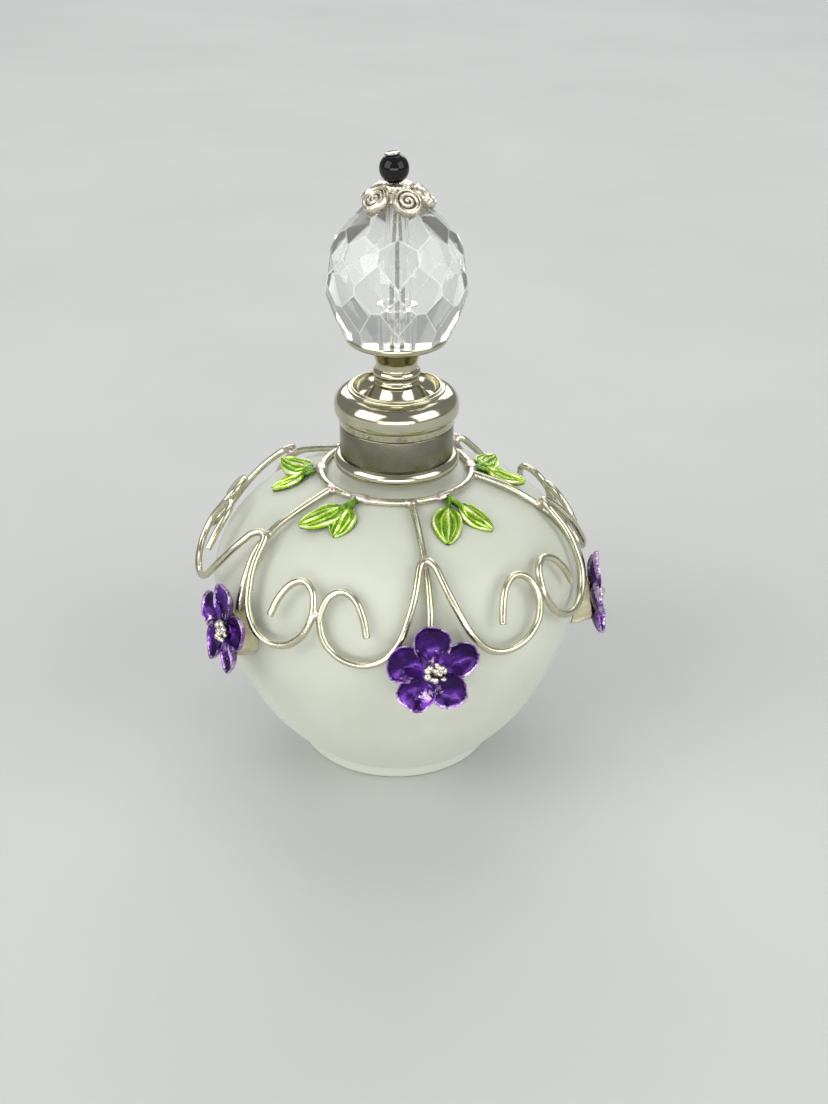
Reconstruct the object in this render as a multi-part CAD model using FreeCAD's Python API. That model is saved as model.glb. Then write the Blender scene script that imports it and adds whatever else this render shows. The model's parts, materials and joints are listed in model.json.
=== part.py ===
import FreeCAD, Part
import math
import os

# Perfume bottle: a frosted glass bottle in a wire cage with enamel flowers and leaves,
# closed by a push-in stopper that carries a dip rod, a metal cap and a faceted bead.
# Millimetres. +Z is up, the origin is the middle of the base on the resting plane,
# and the front of the bottle faces -Y. Azimuths are degrees from the front, + towards +X.

Vector = FreeCAD.Vector

# ---- driving dimensions: glass bottle ----
FOOT_R = 16.3
FOOT_TOP = 2.2
FOOT_ROUND = 0.9
WALL_START = (17.0, 2.7)
WALL = [(19.6, 5.4), (23.9, 11.2), (27.5, 19.2), (29.7, 26.6), (29.9, 31.0), (28.6, 36.4),
        (25.6, 41.0), (20.8, 44.6), (15.0, 47.2), (10.4, 48.9)]
NECK_R = 7.4
NECK_START = 49.95
FINISH_R = 8.35
FINISH_BOTTOM = 54.2
MOUTH_TOP = 57.0
BORE_R = 4.6
INNER_FLOOR = 5.2
INNER_FLOOR_R = 13.0
INNER_WALL = [(17.2, 7.6), (21.6, 12.6), (25.0, 20.0), (27.0, 27.6), (26.9, 31.6), (25.4, 36.0),
              (21.8, 40.2), (15.6, 43.8), (9.0, 46.2)]
BORE_START = 48.6

# ---- driving dimensions: metal neck collar ----
COLLAR_BOTTOM = 50.1
FLANGE_R = 9.92
FLANGE_TOP = 52.4
BAND_R = 8.95
COLLAR_BORE = 8.4
COLLAR_TOP = 57.4
COLLAR_LIP_R = 5.8

# ---- driving dimensions: cap, spool and stopper ----
CAP_BOTTOM = 57.55
CAP_LIP_R = 9.06
CAP_LIP_TOP = 58.5
BULGE_R = 9.75
BULGE_Z = 60.0
RIDGE_R = 7.3
RIDGE_Z = 63.2
DISH_R = 5.2
DISH_Z = 61.3
ROOF_UNDER = 60.3
CAP_BORE = 8.5
STEM_R = 3.28
DISC_R = 7.83
DISC_TOP = 71.7
PIN_R = 0.45
PIN_BORE = 0.55
PIN_END = 59.25
NUT_R = 1.9
PLUG_R = 4.55
PLUG_BOTTOM = 50.6
PLUG_FLANGE_R = 8.45
PLUG_FLANGE = (58.3, 59.0)
GASKET = (57.45, 58.28)
GASKET_R = 8.1
ROD_R = 1.3
ROD_TIP_R = 1.8
ROD_BOTTOM = 13.0
ROD_SOCKET_TOP = 56.5

# ---- driving dimensions: finial beads ----
CRYSTAL_BOTTOM = 71.71
CRYSTAL_TOP = 92.0
CRYSTAL_SIDES = 10
CRYSTAL_AZIMUTH = 2.0
# each row of facets: normal's elevation, radius and height of its middle, and turn in half facets
CRYSTAL_ROWS = [(46.0, 6.4, 89.3, 1), (24.0, 9.05, 85.6, 0), (7.0, 10.25, 81.5, 1),
                (-13.0, 10.15, 77.2, 0), (-24.0, 8.8, 73.9, 1)]
CRYSTAL_HOLE_R = 1.25
COUNTERBORE_R = 2.0
COUNTERBORE_DEPTH = 5.5
CAP_PETALS = 5
CAP_PETAL_R = 2.15
CAP_PETAL_RING = 3.6
CAP_PETAL_AZIMUTH = 22.5
BEADCAP_COLLAR_R = 2.16
BEADCAP_TOP = 94.4
BLACK_R = 2.2
BLACK_Z = 96.5
BLACK_FLAT = 1.97
HEAD_R = 1.15
HEAD_H = 0.35
PIN_BEND_Z = 93.0
PIN_LEAN = 7.0

# ---- driving dimensions: wire cage ----
WIRE_R = 0.575
SOLDER_BITE = 0.03
RING_R = 12.0
RING_Z = 48.95
UNITS = 5
# each unit's azimuth, front unit first and then towards +X, as bent and soldered by hand
UNIT_AZIMUTHS = [11.5, 83.5, 155.5, -132.5, -54.0]
SPOKE_LIFT = 0.95
# each unit's left and right scroll: spread as a share of the usual, lift off the glass, rise
SCROLLS = [[(0.945, 1.65, -0.2), (1.0, 2.1, 0.0)],
           [(1.0, 1.85, 0.0), (1.0, 1.85, 0.0)],
           [(1.0, 2.3, 0.0), (1.0, 2.3, 0.0)],
           [(1.0, 2.6, 0.0), (1.17, 2.7, 3.2)],
           [(0.99, 3.05, 2.7), (0.893, 2.3, 0.4)]]
# half a scroll: degrees from the unit's middle, and height
SCROLL_HALF = [(2.6, 44.6), (5.6, 40.9), (9.8, 36.0), (14.4, 33.0), (20.6, 31.9), (27.4, 32.6),
               (32.9, 34.9), (35.0, 38.2), (33.2, 40.9), (28.6, 41.9), (23.8, 40.9),
               (21.0, 38.7), (19.8, 36.2)]
SCROLL_APEX_Z = 45.2
LEG_DROP = 9.0

# ---- driving dimensions: flowers, glue pads and leaves ----
FLOWER_RING = 32.1
FLOWER_R = 7.1
FLOWER_TILT = 8.0
PETAL_T = 0.75
PETAL_HALF_W = 2.93
PETAL_TILT = 4.0
# each flower's middle: degrees from its unit's middle, height, and how far it faces aside
FLOWERS = [(-1.5, 32.1, 0.0), (1.5, 28.3, 3.0), (-1.0, 30.2, 0.0), (1.0, 27.2, 0.0),
           (2.5, 31.5, -7.0)]
GLUE_R = 3.7
LEAF_T = 0.6
LEAF_LIFT = 1.1
LEAF_STEM = 1.4
LEAF_SPREAD = 49.0
LEAF_SIZES = [(8.3, 4.4), (6.4, 4.3)]
# each pair's azimuth on the ring, and how far it is turned from pointing straight out
LEAF_PAIRS = [(38.5, -13.0), (96.0, 24.0), (176.0, -8.0), (-89.0, -18.0), (-25.0, -19.0)]
SOLDER_R = 1.05


# ---- helpers ----
def polar(radius, azimuth, height):
    """A point at a distance from the bottle's axis, at an azimuth from the front."""
    a = math.radians(azimuth)
    return Vector(radius * math.sin(a), -radius * math.cos(a), height)


def profile_point(point):
    return Vector(point[0], 0, point[1])


def line(a, b):
    return Part.makeLine(profile_point(a), profile_point(b))


def arc(a, middle, b):
    return Part.Arc(profile_point(a), profile_point(middle), profile_point(b)).toShape()


def spline(points):
    curve = Part.BSplineCurve()
    curve.interpolate([profile_point(p) for p in points])
    return curve


def revolve(edges):
    """The solid swept by a closed outline of radius and height turned about +Z."""
    face = Part.Face(Part.Wire(edges))
    solid = face.revolve(Vector(0, 0, 0), Vector(0, 0, 1), 360)
    return one_solid(solid)


def lathe(points):
    """A turned piece with straight facets only."""
    closed = points + [points[0]]
    return revolve([line(a, b) for a, b in zip(closed, closed[1:])])


def one_solid(shape):
    """The single solid in a shape, turned right side out."""
    solid = shape.Solids[0] if shape.Solids else Part.Solid(shape.Shells[0])
    if solid.Volume < 0:
        solid.reverse()
    return solid


def cylinder(radius, low, high):
    return Part.makeCylinder(radius, high - low, Vector(0, 0, low), Vector(0, 0, 1))


def placed(shape, origin, normal, up):
    """A piece made around +Z with its top towards +Y, set on a plane elsewhere."""
    side = up.cross(normal)
    turn = FreeCAD.Rotation(side, up, normal, "ZXY")
    moved = shape.copy()
    moved.Placement = FreeCAD.Placement(origin, turn).multiply(shape.Placement)
    return moved


def tube(points, radius):
    """A round wire along straight runs joined by tangent arcs as large as the runs allow."""
    edges = []
    start = points[0]
    for before, corner, after in zip(points, points[1:], points[2:]):
        back = (before - corner).normalize()
        on = (after - corner).normalize()
        turn = math.pi - back.getAngle(on)
        reach = 0.45 * min(corner.distanceToPoint(before), corner.distanceToPoint(after))
        bend = reach / math.tan(turn / 2)
        inward = (back + on).normalize()
        first = corner + back * reach
        last = corner + on * reach
        middle = corner + inward * (bend / math.cos(turn / 2) - bend)
        edges.append(Part.makeLine(start, first))
        edges.append(Part.Arc(first, middle, last).toShape())
        start = last
    edges.append(Part.makeLine(start, points[-1]))
    path = Part.Wire(edges)
    section = Part.Wire(Part.makeCircle(radius, points[0], points[1] - points[0]))
    solid = one_solid(path.makePipeShell([section], True, False))
    expected = math.pi * radius * radius * path.Length
    if abs(solid.Volume - expected) > 0.01 * expected:
        raise ValueError("a wire's volume differs from its section times its length")
    return solid


WALL_CURVE = spline([WALL_START] + WALL)


def above_glass(azimuth, height, lift):
    """The point that stands off the glass wall by lift, square to the wall, near a height."""
    low, high = WALL_CURVE.FirstParameter, WALL_CURVE.LastParameter
    for step in range(40):
        middle = (low + high) / 2
        point = WALL_CURVE.value(middle)
        along = WALL_CURVE.tangent(middle)[0]
        outward = Vector(along.z, 0, -along.x)
        reached = point + outward * lift
        if reached.z < height:
            low = middle
        else:
            high = middle
    return polar(reached.x, azimuth, reached.z)


# ---- glass bottle and its collar ----
def glass_outside():
    """The bottle's outer form without its cavity, up to the shoulder under the neck."""
    foot_low = (FOOT_R - FOOT_ROUND, 0)
    foot_high = (FOOT_R, FOOT_ROUND)
    bend = FOOT_ROUND * (1 - math.sqrt(0.5))
    wall_end = WALL[-1]
    edges = [
        line((0, 0), foot_low),
        arc(foot_low, (FOOT_R - bend, bend), foot_high),
        line(foot_high, (FOOT_R, FOOT_TOP)),
        line((FOOT_R, FOOT_TOP), WALL_START),
        WALL_CURVE.toShape(),
        arc(wall_end, (8.2, 49.4), (NECK_R, NECK_START)),
        line((NECK_R, NECK_START), (NECK_R, FINISH_BOTTOM)),
        line((NECK_R, FINISH_BOTTOM), (FINISH_R, FINISH_BOTTOM + 0.8)),
        line((FINISH_R, FINISH_BOTTOM + 0.8), (FINISH_R, MOUTH_TOP)),
        line((FINISH_R, MOUTH_TOP), (0, MOUTH_TOP)),
        line((0, MOUTH_TOP), (0, 0)),
    ]
    return revolve(edges)


def glass_inside():
    """The cavity and the neck's bore as one solid."""
    wall = spline(INNER_WALL)
    first, last = INNER_WALL[0], INNER_WALL[-1]
    above = MOUTH_TOP + 1
    edges = [
        line((0, INNER_FLOOR), (INNER_FLOOR_R, INNER_FLOOR)),
        arc((INNER_FLOOR_R, INNER_FLOOR), (15.5, 6.0), first),
        wall.toShape(),
        arc(last, (5.8, 47.1), (BORE_R, BORE_START)),
        line((BORE_R, BORE_START), (BORE_R, above)),
        line((BORE_R, above), (0, above)),
        line((0, above), (0, INNER_FLOOR)),
    ]
    return revolve(edges)


def neck_collar():
    """Sheet metal collar: a rolled flange, a straight band and a lip over the glass mouth."""
    bead_r = (FLANGE_TOP - COLLAR_BOTTOM) / 2
    bead_z = COLLAR_BOTTOM + bead_r
    shoulder = FLANGE_R - bead_r
    edges = [
        line((NECK_R + 0.05, COLLAR_BOTTOM), (shoulder, COLLAR_BOTTOM)),
        arc((shoulder, COLLAR_BOTTOM), (FLANGE_R, bead_z), (shoulder, FLANGE_TOP)),
        line((shoulder, FLANGE_TOP), (BAND_R, FLANGE_TOP + 0.15)),
        line((BAND_R, FLANGE_TOP + 0.15), (BAND_R, COLLAR_TOP - 0.15)),
        line((BAND_R, COLLAR_TOP - 0.15), (BAND_R - 0.15, COLLAR_TOP)),
        line((BAND_R - 0.15, COLLAR_TOP), (COLLAR_LIP_R, COLLAR_TOP)),
        line((COLLAR_LIP_R, COLLAR_TOP), (COLLAR_LIP_R, MOUTH_TOP)),
        line((COLLAR_LIP_R, MOUTH_TOP), (COLLAR_BORE, MOUTH_TOP)),
        line((COLLAR_BORE, MOUTH_TOP), (COLLAR_BORE, COLLAR_BOTTOM + 1.0)),
        line((COLLAR_BORE, COLLAR_BOTTOM + 1.0), (NECK_R + 0.05, COLLAR_BOTTOM + 0.6)),
        line((NECK_R + 0.05, COLLAR_BOTTOM + 0.6), (NECK_R + 0.05, COLLAR_BOTTOM)),
    ]
    return revolve(edges)


# ---- stopper: plug, gasket and dip rod ----
def stopper_plug():
    """Soft plug with sealing ribs, a flange under the cap and a socket for the rod."""
    low, high = PLUG_FLANGE
    points = [(ROD_R, PLUG_BOTTOM), (PLUG_R - 0.45, PLUG_BOTTOM), (PLUG_R - 0.2, PLUG_BOTTOM + 0.6)]
    for rib in (51.9, 53.5, 55.1):
        points += [(PLUG_R - 0.2, rib - 0.45), (PLUG_R, rib - 0.2)]
        points += [(PLUG_R, rib + 0.2), (PLUG_R - 0.2, rib + 0.45)]
    points += [(PLUG_R - 0.2, low), (PLUG_FLANGE_R, low), (PLUG_FLANGE_R, high), (0, high)]
    points += [(0, ROD_SOCKET_TOP), (ROD_R, ROD_SOCKET_TOP)]
    return lathe(points)


def mouth_gasket():
    low, high = GASKET
    return cylinder(GASKET_R, low, high).cut(cylinder(PLUG_R, low - 1, high + 1))


def dip_rod():
    """Thin rod with a ball at its foot that carries a drop."""
    ball_z = ROD_BOTTOM + ROD_TIP_R
    meet = ball_z + math.sqrt(ROD_TIP_R ** 2 - ROD_R ** 2)
    edges = [
        arc((0, ROD_BOTTOM), (ROD_TIP_R, ball_z), (ROD_R, meet)),
        line((ROD_R, meet), (ROD_R, ROD_SOCKET_TOP)),
        line((ROD_R, ROD_SOCKET_TOP), (0, ROD_SOCKET_TOP)),
        line((0, ROD_SOCKET_TOP), (0, ROD_BOTTOM)),
    ]
    return revolve(edges)


# ---- cap and finial ----
def cap_shell():
    """Bulged metal cap with a bright lip, a double ridge and a dished top."""
    rib = 0.22
    edges = [
        line((CAP_BORE, CAP_BOTTOM), (CAP_LIP_R, CAP_BOTTOM)),
        line((CAP_LIP_R, CAP_BOTTOM), (CAP_LIP_R, CAP_LIP_TOP)),
        arc((CAP_LIP_R, CAP_LIP_TOP), (BULGE_R - 0.22, CAP_LIP_TOP + 0.5), (BULGE_R, BULGE_Z)),
        arc((BULGE_R, BULGE_Z), (9.25, 61.9), (RIDGE_R + 0.3, RIDGE_Z - 0.35)),
        arc((RIDGE_R + 0.3, RIDGE_Z - 0.35), (RIDGE_R + 0.25, RIDGE_Z - 0.05), (RIDGE_R, RIDGE_Z)),
        arc((RIDGE_R, RIDGE_Z), (RIDGE_R - rib / 2, RIDGE_Z - 0.1), (RIDGE_R - rib, RIDGE_Z + 0.05)),
        arc((RIDGE_R - rib, RIDGE_Z + 0.05), (RIDGE_R - 0.4, RIDGE_Z + 0.25),
            (RIDGE_R - 0.6, RIDGE_Z + 0.05)),
        arc((RIDGE_R - 0.6, RIDGE_Z + 0.05), (6.2, 61.9), (DISH_R, DISH_Z)),
        line((DISH_R, DISH_Z), (PIN_BORE, DISH_Z)),
        line((PIN_BORE, DISH_Z), (PIN_BORE, ROOF_UNDER)),
        line((PIN_BORE, ROOF_UNDER), (CAP_BORE - 0.6, ROOF_UNDER)),
        line((CAP_BORE - 0.6, ROOF_UNDER), (CAP_BORE, ROOF_UNDER - 0.6)),
        line((CAP_BORE, ROOF_UNDER - 0.6), (CAP_BORE, CAP_BOTTOM)),
    ]
    return revolve(edges)


def finial_stem():
    """Turned spool with two beads and a flat disc that the crystal stands on."""
    edges = [
        line((PIN_BORE, DISH_Z), (5.1, DISH_Z)),
        arc((5.1, DISH_Z), (4.15, 62.3), (STEM_R, 63.6)),
        arc((STEM_R, 63.6), (STEM_R + 0.28, 64.05), (STEM_R, 64.5)),
        line((STEM_R, 64.5), (STEM_R - 0.08, 64.85)),
        arc((STEM_R - 0.08, 64.85), (STEM_R + 0.42, 65.6), (STEM_R - 0.05, 66.35)),
        arc((STEM_R - 0.05, 66.35), (3.22, 67.1), (3.6, 68.2)),
        arc((3.6, 68.2), (4.6, 69.7), (DISC_R - 0.35, 70.6)),
        arc((DISC_R - 0.35, 70.6), (DISC_R, 71.1), (DISC_R - 0.15, DISC_TOP)),
        line((DISC_R - 0.15, DISC_TOP), (PIN_BORE, DISC_TOP)),
        line((PIN_BORE, DISC_TOP), (PIN_BORE, DISH_Z)),
    ]
    return revolve(edges)


def crystal_bead():
    """Egg-shaped bead cut with rows of flat facets, bored through with a wider foot."""
    bead = cylinder(13, CRYSTAL_BOTTOM, CRYSTAL_TOP)
    reach = 40
    facet = 360 / CRYSTAL_SIDES
    for elevation, radius, height, half_turns in CRYSTAL_ROWS:
        for k in range(CRYSTAL_SIDES):
            azimuth = CRYSTAL_AZIMUTH + facet * (k + half_turns / 2)
            tilt = math.radians(elevation)
            normal = polar(math.cos(tilt), azimuth, math.sin(tilt))
            block = Part.makeBox(reach, reach, reach, Vector(-reach / 2, -reach / 2, 0))
            up = polar(-math.sin(tilt), azimuth, math.cos(tilt))
            bead = bead.cut(placed(block, polar(radius, azimuth, height), normal, up))
    bead = bead.cut(cylinder(CRYSTAL_HOLE_R, CRYSTAL_BOTTOM - 1, CRYSTAL_TOP + 1))
    bead = bead.cut(cylinder(COUNTERBORE_R, CRYSTAL_BOTTOM - 1, CRYSTAL_BOTTOM + COUNTERBORE_DEPTH))
    return one_solid(bead)


def bead_cap(crystal):
    """Cast cap of round scroll petals lying on the crystal's shoulder, under a small collar."""
    dome = lathe([(0, CRYSTAL_TOP), (3.6, CRYSTAL_TOP), (3.4, 92.7), (BEADCAP_COLLAR_R, 93.5),
                  (BEADCAP_COLLAR_R - 0.1, 93.8), (BEADCAP_COLLAR_R, BEADCAP_TOP),
                  (0, BEADCAP_TOP)])
    elevation, radius, height, half_turns = CRYSTAL_ROWS[0]
    tilt = math.radians(elevation)
    petal_z = height + (radius - CAP_PETAL_RING) / math.tan(tilt)
    petal_t = 1.0
    for k in range(CAP_PETALS):
        azimuth = CAP_PETAL_AZIMUTH + 360 / CAP_PETALS * k
        normal = polar(math.cos(tilt), azimuth, math.sin(tilt))
        up = polar(-math.sin(tilt), azimuth, math.cos(tilt))
        disc = Part.makeCylinder(CAP_PETAL_R, petal_t, Vector(0, 0, 0.02), Vector(0, 0, 1))
        dome = dome.fuse(placed(disc, polar(CAP_PETAL_RING, azimuth, petal_z), normal, up))
    dome = dome.cut(crystal.fuse(cylinder(CRYSTAL_HOLE_R, CRYSTAL_BOTTOM, CRYSTAL_TOP)))
    dome = dome.cut(cylinder(1.15, CRYSTAL_TOP + 0.5, BEADCAP_TOP + 1))
    dome = dome.cut(cylinder(PIN_BORE, CRYSTAL_TOP - 1, BEADCAP_TOP + 1))
    return one_solid(dome)


def leaning(shape):
    """A piece on the pin's top, leaned with it towards -X about the pin's bend."""
    leaned = shape.copy()
    leaned.rotate(Vector(0, 0, PIN_BEND_Z), Vector(0, 1, 0), -PIN_LEAN)
    return leaned


def black_bead():
    """Glossy ball with flattened ends where the pin runs through."""
    ball = Part.makeSphere(BLACK_R, Vector(0, 0, BLACK_Z))
    ball = ball.common(cylinder(BLACK_R + 1, BLACK_Z - BLACK_FLAT, BLACK_Z + BLACK_FLAT))
    return one_solid(leaning(ball.cut(cylinder(PIN_BORE, BLACK_Z - 3, BLACK_Z + 3))))


def head_pin():
    """Long pin that strings the finial together, with a flat head on the black bead."""
    seat = BLACK_Z + BLACK_FLAT + 0.01
    shaft = cylinder(PIN_R, PIN_END, PIN_BEND_Z)
    knee = Part.makeSphere(PIN_R, Vector(0, 0, PIN_BEND_Z))
    top = lathe([(0, PIN_BEND_Z), (PIN_R, PIN_BEND_Z), (PIN_R, seat),
                 (HEAD_R - 0.1, seat), (HEAD_R, seat + 0.1), (HEAD_R, seat + HEAD_H - 0.1),
                 (HEAD_R - 0.1, seat + HEAD_H), (0, seat + HEAD_H)])
    return one_solid(shaft.fuse(knee).fuse(leaning(top)))


def pin_nut():
    low = PIN_END + 0.1
    corners = [polar(NUT_R, 60 * k, low) for k in range(7)]
    hexagon = Part.Face(Part.makePolygon(corners))
    nut = hexagon.extrude(Vector(0, 0, ROOF_UNDER - low))
    return one_solid(nut.cut(cylinder(PIN_R + 0.02, low - 1, ROOF_UNDER + 1)))


# ---- wire cage ----
def cage_ring():
    return Part.makeTorus(RING_R, WIRE_R, Vector(0, 0, RING_Z), Vector(0, 0, 1))


def spoke_wire(k, ring):
    """Wire from the ring down the shoulder, under the scroll and behind the flower."""
    azimuth = UNIT_AZIMUTHS[k]
    offset, flower_z, swing = FLOWERS[k]
    end_z = flower_z + 1.0
    under_arch = apex_lift(k) - 2 * WIRE_R + SOLDER_BITE
    low_bend = 38.6
    points = [
        polar(RING_R, azimuth, RING_Z + 0.05),
        above_glass(azimuth, 47.35, SPOKE_LIFT),
        above_glass(azimuth, 45.3, under_arch),
        above_glass(azimuth + 0.1 * offset, 42.4, under_arch),
        above_glass(azimuth + 0.45 * offset, low_bend, SPOKE_LIFT),
        above_glass(azimuth + 0.8 * offset, (low_bend + end_z) / 2, SPOKE_LIFT),
        above_glass(azimuth + offset, end_z, SPOKE_LIFT),
    ]
    return one_solid(tube(points, WIRE_R).cut(ring))


def apex_lift(k):
    return (SCROLLS[k][0][1] + SCROLLS[k][1][1]) / 2


def scroll_side(k, side):
    """The bends of one side's leg and loop, from just below the apex to the hook's end."""
    spread, lift, rise = SCROLLS[k][(side + 1) // 2]
    bends = []
    share = 0
    for a, z in SCROLL_HALF:
        share = max(share, min(1, (SCROLL_APEX_Z - z) / LEG_DROP))
        bends.append(above_glass(UNIT_AZIMUTHS[k] + side * a * spread, z + rise * share, lift))
    return bends


def scroll_wire(k):
    """One wire: a narrow arch whose legs sweep out, round and up into inward hooks."""
    left, right = [scroll_side(k, side) for side in (-1, 1)]
    apex = above_glass(UNIT_AZIMUTHS[k], SCROLL_APEX_Z, apex_lift(k))
    return tube(left[::-1] + [apex] + right, WIRE_R)


# ---- flowers, stamens and glue ----
def flower_frame(k):
    """A flower's middle, its outward normal and its up direction."""
    offset, height, swing = FLOWERS[k]
    azimuth = UNIT_AZIMUTHS[k] + offset
    tilt = math.radians(FLOWER_TILT)
    normal = polar(math.cos(tilt), azimuth + swing, math.sin(tilt))
    up = polar(-math.sin(tilt), azimuth + swing, math.cos(tilt))
    return polar(FLOWER_RING, azimuth, height), normal, up


def flower(k):
    """Five rounded petals tilted up from a small hub, cast in one piece."""
    petal_middle = FLOWER_R - PETAL_HALF_W
    blossom = Part.makeCylinder(2.0, 1.1)
    for p in range(5):
        petal = Part.makeCylinder(PETAL_HALF_W, PETAL_T, Vector(petal_middle - 1.2, 0, 0.1))
        petal.rotate(Vector(1.2, 0, 0), Vector(0, 1, 0), -PETAL_TILT)
        petal.translate(Vector(1.2, 0, 0))
        petal.rotate(Vector(0, 0, 0), Vector(0, 0, 1), 90 + 72 * p)
        blossom = blossom.fuse(petal)
    origin, normal, up = flower_frame(k)
    return one_solid(placed(blossom, origin, normal, up))


def stamens(k):
    """A cluster of little balls on a small disc in the middle of a flower."""
    disc = Part.makeCylinder(1.35, 0.35, Vector(0, 0, 1.1))
    cluster = disc.fuse(Part.makeSphere(0.62, Vector(0, 0, 1.75)))
    for p in range(6):
        a = math.radians(60 * p)
        middle = Vector(1.02 * math.cos(a), 1.02 * math.sin(a), 1.6)
        cluster = cluster.fuse(Part.makeSphere(0.42, middle))
    origin, normal, up = flower_frame(k)
    return one_solid(placed(cluster, origin, normal, up))


def glue_pad(k, outside, spoke, blossom):
    """Clear glue between the back of a flower and the glass, poured round the wire's end."""
    origin, normal, up = flower_frame(k)
    depth = 7.0
    pad = Part.makeCone(GLUE_R + 0.8, GLUE_R, depth, Vector(0, -1.0, -depth - 0.01))
    pad = placed(pad, origin, normal, up).cut(outside).cut(spoke).cut(blossom)
    return one_solid(max(pad.Solids, key=lambda solid: solid.Volume))


# ---- leaves ----
def leaf(length, width):
    """A pointed leaf blank lying along +Y from its stem end."""
    tip = Vector(0, length, 0)
    foot = Vector(0, 0, 0)
    left = Part.Arc(foot, Vector(-width / 2, 0.45 * length, 0), tip).toShape()
    right = Part.Arc(tip, Vector(width / 2, 0.45 * length, 0), foot).toShape()
    return Part.Face(Part.Wire([left, right])).extrude(Vector(0, 0, LEAF_T))


def leaf_pair(k, ring, outside):
    """Two leaves spread from a solder blob on the ring, lying down the shoulder."""
    azimuth, turn = LEAF_PAIRS[k]
    foot = polar(RING_R + 0.9, azimuth, RING_Z)
    down = (above_glass(azimuth, 46.2, LEAF_LIFT) - foot).normalize()
    normal = down.cross(polar(1, azimuth - 90, 0)).normalize()
    pair = Part.makeSphere(SOLDER_R, foot)
    for side, (length, width) in zip((-1, 1), LEAF_SIZES):
        blank = leaf(length, width)
        blank.translate(Vector(0, LEAF_STEM, 0))
        stem = Part.makeBox(0.9, LEAF_STEM + 1, LEAF_T, Vector(-0.45, 0, 0))
        blank = blank.fuse(stem)
        blank.rotate(Vector(0, 0, 0), Vector(0, 0, 1), -turn - side * LEAF_SPREAD / 2)
        pair = pair.fuse(placed(blank, foot, normal, down))
    return one_solid(pair.cut(ring).cut(outside))


# ---- build and write ----
def build():
    outside = glass_outside()
    ring = cage_ring()
    crystal = crystal_bead()
    parts = {
        "glass_bottle": one_solid(outside.cut(glass_inside())),
        "neck_collar": neck_collar(),
        "stopper_plug": stopper_plug(),
        "mouth_gasket": mouth_gasket(),
        "dip_rod": dip_rod(),
        "cap_shell": cap_shell(),
        "finial_stem": finial_stem(),
        "crystal_bead": crystal,
        "bead_cap": bead_cap(crystal),
        "black_bead": black_bead(),
        "head_pin": head_pin(),
        "pin_nut": pin_nut(),
        "cage_ring": ring,
    }
    for k in range(UNITS):
        number = k + 1
        spoke = spoke_wire(k, ring)
        blossom = flower(k)
        parts["spoke_wire_%d" % number] = spoke
        parts["scroll_wire_%d" % number] = scroll_wire(k)
        parts["flower_%d" % number] = blossom
        parts["stamens_%d" % number] = stamens(k)
        parts["glue_pad_%d" % number] = glue_pad(k, outside, spoke, blossom)
        parts["leaf_pair_%d" % number] = leaf_pair(k, ring, outside)
    return parts


if __name__ == "__main__":
    os.makedirs("parts", exist_ok=True)
    for name, shape in build().items():
        if not shape.isValid():
            raise ValueError(name + " is not a valid solid")
        shape.exportStep("parts/" + name + ".step")
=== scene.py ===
import json
import math

import bmesh
import bpy
import numpy as np
from mathutils import Matrix, Vector
from mathutils.kdtree import KDTree


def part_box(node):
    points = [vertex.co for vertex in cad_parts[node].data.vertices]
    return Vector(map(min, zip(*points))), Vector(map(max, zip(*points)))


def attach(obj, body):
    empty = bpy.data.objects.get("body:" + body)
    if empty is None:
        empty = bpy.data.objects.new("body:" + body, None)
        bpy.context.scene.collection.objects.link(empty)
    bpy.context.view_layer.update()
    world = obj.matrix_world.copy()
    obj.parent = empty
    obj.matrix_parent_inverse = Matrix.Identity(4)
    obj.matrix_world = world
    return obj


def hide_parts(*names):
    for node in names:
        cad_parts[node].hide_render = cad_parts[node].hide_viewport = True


# Looks for the perfume bottle: a frosted glass body in a soldered wire cage with enamel flowers
# and leaves, under a nickel cap with a faceted bead finial. Sizes are in millimetres unless
# something else is said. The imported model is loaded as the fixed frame.

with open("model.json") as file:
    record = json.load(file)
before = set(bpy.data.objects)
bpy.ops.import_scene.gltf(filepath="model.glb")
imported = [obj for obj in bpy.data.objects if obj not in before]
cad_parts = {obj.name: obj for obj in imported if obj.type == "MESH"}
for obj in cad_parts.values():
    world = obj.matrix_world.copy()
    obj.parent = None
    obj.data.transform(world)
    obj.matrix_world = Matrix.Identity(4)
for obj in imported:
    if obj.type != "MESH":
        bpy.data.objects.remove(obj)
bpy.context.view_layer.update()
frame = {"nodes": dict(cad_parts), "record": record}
NODES = frame["nodes"]
UNITS = range(1, 6)
MM = 0.001

# ---- wire cage, in millimetres and degrees, as all that follows ----
RING_R = 12.0
RING_Z = 48.95
WIRE_VOXEL = 0.13
WIRE_WAVE = 0.02
SOLDER_LUMP = 0.09
# points this much farther than the closest still count as touching
CONTACT_REACH = 0.15
# each solder blob's half sizes: round the bottle, outward and up
SPOKE_SOLDER = (0.95, 0.85, 0.62)
LEAF_SOLDER = (2.1, 0.92, 0.78)
APEX_SOLDER = (0.8, 0.7, 0.95)
SIDE_SOLDER = (0.55, 0.55, 0.75)

# ---- flowers ----
STAMEN_BASE = 1.1
STAMENS = 12
STAMENS_OUTSIDE = 9
STAMEN_VOXEL = 0.075
GLUE_VOXEL = 0.22
PETAL_CUP = 1.25
PETAL_LEAN = 1.0
PETAL_MIDDLE = 3.95
# how square a petal's outline is: 2 is an ellipse
PETAL_SQUARE = 2.4
# the petal's rolled rim: share of the way out, and how far it is rolled up
PETAL_RIM = [(0.885, 0.35), (0.915, 0.75), (0.945, 1.0), (0.975, 0.95), (0.995, 0.6),
             (1.0, 0.0), (0.985, -0.8)]
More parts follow.
